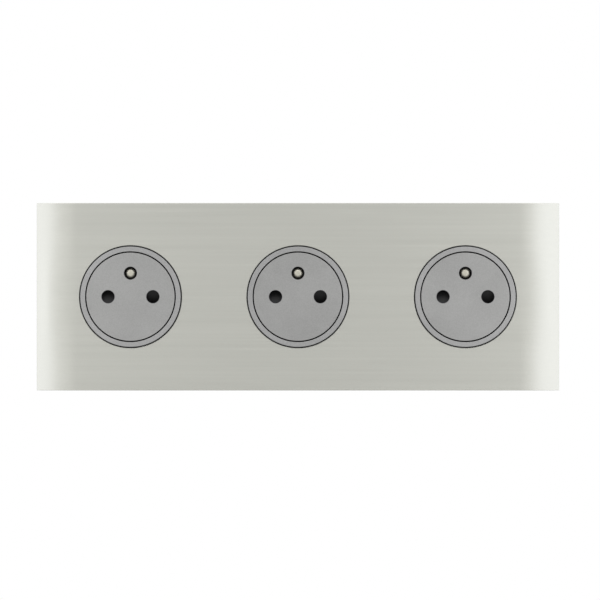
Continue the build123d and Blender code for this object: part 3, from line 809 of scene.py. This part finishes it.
def hole_shade_test(centre):
    """Test for the faces of a disc that get dark plastic as painted shade: the walls of its holes and its
    inside.
    """
    holes = face_holes()

    def in_painted_shade(co):
        if off_axis(co, centre) >= DISC_R - DISC_EDGE:
            return False
        if co.y > FACE + SEAM:
            return True
        return any(off_axis(co, centre + x, z) < radius + HOLE_EDGE for radius, x, z in holes)

    return in_painted_shade


def paint_hole_shade(piece, centre):
    """Give a disc's hole walls and inside the dark plastic, as painted shade that darkens its holes."""
    piece.data.materials.append(MATERIALS["dark_plastic"])
    only(piece)
    bpy.ops.object.mode_set(mode="EDIT")
    pick(piece, "FACE", hole_shade_test(centre))
    piece.active_material_index = 1
    bpy.ops.object.material_slot_assign()
    bpy.ops.object.mode_set(mode="OBJECT")


# Finished pieces in the nodes' places


def dress(piece, node):
    """Give a finished piece the material of the node that it stands for, and hide that node."""
    piece.data.materials.clear()
    piece.data.materials.append(MATERIALS[finish_of(node)])
    # a disc's hole walls and inside get dark plastic: painted shade in its holes
    if node.endswith("_disc"):
        paint_hole_shade(piece, centre_of(node.removesuffix("_disc")))
    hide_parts(node)
    return piece


def stand_for(piece, node):
    """A finished piece takes over from a node on that node's body."""
    dress(piece, node)
    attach(piece, BODIES[node])
    return piece


def fit_return_spring(coil, gang):
    """Copy of the coil for one socket, on the body of its node."""
    node = f"{gang}_return_spring"
    x = centre_of(gang)
    spring = stand_for(copy_to(coil, f"{node}_made", x), node)
    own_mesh(spring)


def fit_shutter_spring(strip, gang):
    """Copy of the strip for one socket, set in place from its face's post to its shutter."""
    node = f"{gang}_shutter_spring"
    x = centre_of(gang)
    leaf = dress(copy_to(strip, f"{node}_made", x), node)
    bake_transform(leaf)


# The nodes that no piece takes over from show in these materials themselves
for node, solid in nodes.items():
    solid.data.materials.clear()
    solid.data.materials.append(MATERIALS[finish_of(node)])

stand_for(cover_plate(), "cover_plate")
modelled = {"trim_ring": trim_ring(), "disc": disc(), "earth_pin": earth_pin()}
coil = return_spring()
strip = shutter_spring()
for gang in GANGS:
    for name, piece in modelled.items():
        node = f"{gang}_{name}"
        stand_for(copy_to(piece, f"{node}_made", centre_of(gang)), node)
    fit_return_spring(coil, gang)
    fit_shutter_spring(strip, gang)
for piece in (*modelled.values(), coil, strip):
    bpy.data.objects.remove(piece)

EASED_EDGES = {
    "contact_block": MOULD_EDGE,
    "rear_cover": MOULD_EDGE,
    "disc_back": SHEET_EDGE,
    "shutter": SHEET_EDGE,
    "live_terminal": FINE_EDGE,
    "neutral_terminal": FINE_EDGE,
    "earth_terminal": FINE_EDGE,
    "terminal_screws": FINE_EDGE,
}
for gang in GANGS:
    stand_for(eased_base(gang), f"{gang}_base")
    for name, width in EASED_EDGES.items():
        node = f"{gang}_{name}"
        stand_for(eased_copy(node, width), node)
for node in ("plate_carrier", "support_frame"):
    stand_for(eased_copy(node, SHEET_EDGE), node)


# Floor, light and camera
WHITE = (1.0, 1.0, 1.0)
DAYLIGHT = (0.930, 0.938, 1.0)
FLOOR_Z = -0.25
FLOOR_HALF = 6.0
FLOOR_COLOUR = (0.93, 0.93, 0.92)
FLOOR_ROUGHNESS = 0.9
CLEAR_FROM = 0.2             # the floor keeps the object's shadow inside this distance
CLEAR_TO = 0.45              # and is plain white for the camera and in reflections beyond this one
AMBIENT = 0.3
TOP_GLOW = 1.2
TOP_PLACE = (0, -0.95, 0.95)
TOP_W = 2.0
TOP_H = 0.9
PANEL_REACH = 0.6
PANEL_H = 1.2
PANEL_LIFT = 0.01            # the upright lamps end this far above the floor
PANEL_Z = FLOOR_Z + PANEL_H / 2 + PANEL_LIFT
# Upright lamps beside the camera: degrees from straight ahead, to the right where positive, glow and colour
PANELS = {
    "left_softbox": (-43, -100, 1.39, DAYLIGHT),
    "left_fill": (-12, -43, 0.56, WHITE),
    "right_softbox": (33, 100, 1.41, DAYLIGHT),
    "right_fill": (12, 33, 0.58, WHITE),
}
CAMERA_FROM_PLATE = 2.0
CAMERA_X = 0.87 * MM
CAMERA_Z = -1.38 * MM
LENS = 283.0
SENSOR_W = 36.0


def looking(tree):
    """One for a ray of the camera, of a reflection or through glass, and zero for light on a surface."""
    path = tree.nodes.new("ShaderNodeLightPath")
    seen = path.outputs["Is Camera Ray"]
    for label in ("Is Glossy Ray", "Is Transmission Ray"):
        either = tree.nodes.new("ShaderNodeMath")
        either.operation = "MAXIMUM"
        tree.links.new(seen, either.inputs[0])
        tree.links.new(path.outputs[label], either.inputs[1])
        seen = either.outputs["Value"]
    return seen


def mixed(tree, share, first, second):
    """Mix of two shaders by a share."""
    mix = tree.nodes.new("ShaderNodeMixShader")
    tree.links.new(share, mix.inputs["Fac"])
    tree.links.new(first, mix.inputs[1])
    tree.links.new(second, mix.inputs[2])
    return mix.outputs["Shader"]


def floor_material():
    """Pale floor that takes the object's shadow nearby, is white further out and is open from below."""
    material = bpy.data.materials.new("pale_floor")
    material.use_nodes = True
    tree = material.node_tree
    shader = tree.nodes["Principled BSDF"]
    shader.inputs["Base Color"].default_value = (*FLOOR_COLOUR, 1)
    shader.inputs["Roughness"].default_value = FLOOR_ROUGHNESS
    place = tree.nodes.new("ShaderNodeTexCoord")
    reach = tree.nodes.new("ShaderNodeVectorMath")
    reach.operation = "LENGTH"
    tree.links.new(place.outputs["Object"], reach.inputs[0])
    fade = tree.nodes.new("ShaderNodeMapRange")
    fade.inputs["From Min"].default_value = CLEAR_FROM
    fade.inputs["From Max"].default_value = CLEAR_TO
    tree.links.new(reach.outputs["Value"], fade.inputs["Value"])
    share = tree.nodes.new("ShaderNodeMath")
    share.operation = "MULTIPLY"
    tree.links.new(fade.outputs["Result"], share.inputs[0])
    tree.links.new(looking(tree), share.inputs[1])
    white = tree.nodes.new("ShaderNodeEmission")
    top = mixed(tree, share.outputs["Value"], shader.outputs["BSDF"], white.outputs["Emission"])
    below = tree.nodes.new("ShaderNodeNewGeometry").outputs["Backfacing"]
    clear = tree.nodes.new("ShaderNodeBsdfTransparent")
    floor = mixed(tree, below, top, clear.outputs["BSDF"])
    tree.links.new(floor, tree.nodes["Material Output"].inputs["Surface"])
    return material


def studio_floor():
    """Wide flat floor under the object."""
    bpy.ops.object.select_all(action="DESELECT")
    bpy.ops.mesh.primitive_plane_add(size=2 * FLOOR_HALF, location=(0, 0, FLOOR_Z))
    floor = bpy.context.object
    floor.name = "floor"
    floor.data.materials.append(floor_material())


def studio_world():
    """World that is white to the camera, to metal and to glass, and a softer light for everything else."""
    world = bpy.data.worlds.new("studio")
    bpy.context.scene.world = world
    world.use_nodes = True
    tree = world.node_tree
    tree.nodes.clear()
    ambient = tree.nodes.new("ShaderNodeBackground")
    ambient.inputs["Strength"].default_value = AMBIENT
    white = tree.nodes.new("ShaderNodeBackground")
    for background in (ambient, white):
        background.inputs["Color"].default_value = (*WHITE, 1)
    output = tree.nodes.new("ShaderNodeOutputWorld")
    light = mixed(tree, looking(tree), ambient.outputs["Background"], white.outputs["Background"])
    tree.links.new(light, output.inputs["Surface"])


def soft_lamp(name, place, target, width, height, glow, colour):
    """Rectangular lamp that points at a place, its power worked out from the glow of its surface."""
    lamp = bpy.data.lights.new(name, "AREA")
    lamp.shape = "RECTANGLE"
    lamp.size = width
    lamp.size_y = height
    lamp.energy = glow * pi * width * height
    lamp.color = colour
    holder = bpy.data.objects.new(name, lamp)
    bpy.context.scene.collection.objects.link(holder)
    holder.location = place
    holder.rotation_euler = (Vector(target) - Vector(place)).to_track_quat("-Z", "Y").to_euler()


def side_panel(name, start, end, glow, colour):
    """Upright lamp that spans two angles from straight ahead."""
    a, b = (Vector((sin(t), -cos(t), 0)) * PANEL_REACH for t in (radians(start), radians(end)))
    height = Vector((0, 0, PANEL_Z))
    soft_lamp(name, (a + b) / 2 + height, height, (b - a).length, PANEL_H, glow, colour)


def studio_camera():
    """Camera straight in front of the plate."""
    camera = bpy.data.cameras.new("camera")
    camera.lens = LENS
    camera.sensor_width = SENSOR_W
    holder = bpy.data.objects.new("camera", camera)
    bpy.context.scene.collection.objects.link(holder)
    holder.location = (CAMERA_X, PLATE_FRONT - CAMERA_FROM_PLATE, CAMERA_Z)
    holder.rotation_euler = UPRIGHT
    bpy.context.scene.camera = holder


studio_floor()
studio_world()
for name, (start, end, glow, colour) in PANELS.items():
    side_panel(name, start, end, glow, colour)
soft_lamp("top_softbox", TOP_PLACE, (0, 0, 0), TOP_W, TOP_H, TOP_GLOW, WHITE)
studio_camera()
bpy.context.scene.view_settings.view_transform = "Standard"
